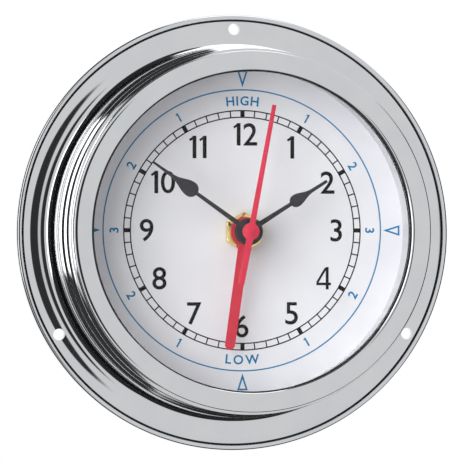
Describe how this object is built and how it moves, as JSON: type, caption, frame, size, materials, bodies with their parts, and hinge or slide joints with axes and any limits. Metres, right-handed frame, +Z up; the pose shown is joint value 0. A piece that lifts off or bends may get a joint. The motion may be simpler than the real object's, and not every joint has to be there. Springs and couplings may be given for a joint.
{
  "type": "tide clock",
  "caption": "Round wall-mounted time and tide clock: plated flanged case, stepped screw bezel, flat glass, white dial, coaxial hands and a battery movement.",
  "frame": {"origin": "centre of the flange's back face, on the wall plane", "axes": "+Z up through twelve o'clock, the dial faces -Y, +X to the viewer's right"},
  "size_m": [0.12, 0.0362, 0.12],
  "materials": {
    "chrome_plate": "polished plating on brass",
    "clear_glass": "clear flat",
    "black_rubber": "matt",
    "white_plastic": "satin white",
    "dial_enamel": "satin white paint on aluminium",
    "yellow_brass": "bright turned",
    "tide_red": "painted",
    "hand_black": "painted",
    "second_red": "painted",
    "housing_black": "fine moulded",
    "gear_plastic": "natural acetal",
    "magnet_iron": "dark sintered",
    "soft_iron": "stamped sheet",
    "copper_wire": "enamelled winding",
    "board_green": "solder resist",
    "can_steel": "drawn can",
    "cell_sleeve": "printed sleeve",
    "contact_steel": "nickelled spring steel"
  },
  "bodies": {
    "base": {"case_body": "chrome_plate", "dial_spacer": "white_plastic", "dial_plate": "dial_enamel", "movement_washer": "black_rubber", "nut_washer": "yellow_brass", "hex_nut": "yellow_brass", "threaded_bushing": "yellow_brass", "movement_shell": "housing_black", "movement_cover": "housing_black", "stator": "soft_iron", "coil_core": "soft_iron", "coil": "copper_wire", "circuit_board": "board_green", "quartz_crystal": "can_steel", "battery": "cell_sleeve", "contact_plus": "contact_steel", "contact_minus": "contact_steel"},
    "glass_pane": {"front_glass": "clear_glass", "glass_gasket": "black_rubber"},
    "bezel": {"bezel_ring": "chrome_plate"},
    "seconds": {"second_hand": "second_red", "second_wheel": "gear_plastic"},
    "motor_rotor": {"rotor": "magnet_iron"},
    "intermediate": {"intermediate_wheel": "gear_plastic"},
    "third": {"third_wheel": "gear_plastic"},
    "centre": {"centre_wheel": "gear_plastic"},
    "minutes": {"minute_hand": "hand_black", "minute_pipe": "yellow_brass"},
    "motion": {"motion_wheel": "gear_plastic"},
    "hours": {"hour_hand": "hand_black", "hour_wheel": "gear_plastic"},
    "tides": {"tide_hand": "tide_red", "tide_wheel": "gear_plastic"},
    "knob": {"setting_knob": "gear_plastic"}
  },
  "joints": [
    {"name": "second_sweep", "type": "hinge", "parent": "base", "child": "seconds", "pos_m": [0, 0, 0], "axis": [0, 1, 0], "continuous": true},
    {"name": "rotor_spin", "type": "hinge", "parent": "base", "child": "motor_rotor", "pos_m": [0, 0, 0.01792], "axis": [0, 1, 0], "continuous": true},
    {"name": "intermediate_spin", "type": "hinge", "parent": "base", "child": "intermediate", "pos_m": [0, 0, 0.01008], "axis": [0, 1, 0], "continuous": true},
    {"name": "third_spin", "type": "hinge", "parent": "base", "child": "third", "pos_m": [-0.00855, 0, 0.00494], "axis": [0, 1, 0], "continuous": true},
    {"name": "centre_spin", "type": "hinge", "parent": "base", "child": "centre", "pos_m": [0, 0, 0], "axis": [0, 1, 0], "continuous": true},
    {"name": "minute_turn", "type": "hinge", "parent": "base", "child": "minutes", "pos_m": [0, 0, 0], "axis": [0, 1, 0], "continuous": true},
    {"name": "motion_spin", "type": "hinge", "parent": "base", "child": "motion", "pos_m": [0.00986, 0, 0.00569], "axis": [0, 1, 0], "continuous": true},
    {"name": "hour_turn", "type": "hinge", "parent": "base", "child": "hours", "pos_m": [0, 0, 0], "axis": [0, 1, 0], "continuous": true},
    {"name": "tide_turn", "type": "hinge", "parent": "base", "child": "tides", "pos_m": [0, 0, 0], "axis": [0, 1, 0], "continuous": true},
    {"name": "knob_turn", "type": "hinge", "parent": "base", "child": "knob", "pos_m": [0.02056, 0, 0.00959], "axis": [0, 1, 0], "continuous": true},
    {"name": "bezel_lift", "type": "slide", "parent": "base", "child": "glass_pane", "axis": [0, -1, 0], "range_m": [0, 0.0045]},
    {"name": "bezel_turn", "type": "hinge", "parent": "glass_pane", "child": "bezel", "pos_m": [0, 0, 0], "axis": [0, -1, 0], "range_deg": [0, 1080]}
  ],
  "couplings": [
    {"joint": "intermediate_spin", "follows": "second_sweep", "ratio": -5},
    {"joint": "rotor_spin", "follows": "second_sweep", "ratio": 30},
    {"joint": "third_spin", "follows": "second_sweep", "ratio": -0.13333},
    {"joint": "centre_spin", "follows": "second_sweep", "ratio": 0.016667},
    {"joint": "motion_spin", "follows": "minute_turn", "ratio": -0.25},
    {"joint": "hour_turn", "follows": "minute_turn", "ratio": 0.083333},
    {"joint": "tide_turn", "follows": "minute_turn", "ratio": 0.080508},
    {"joint": "knob_turn", "follows": "minute_turn", "ratio": 1},
    {"joint": "bezel_lift", "follows": "bezel_turn", "m_per_rad": 0.00023873}
  ]
}
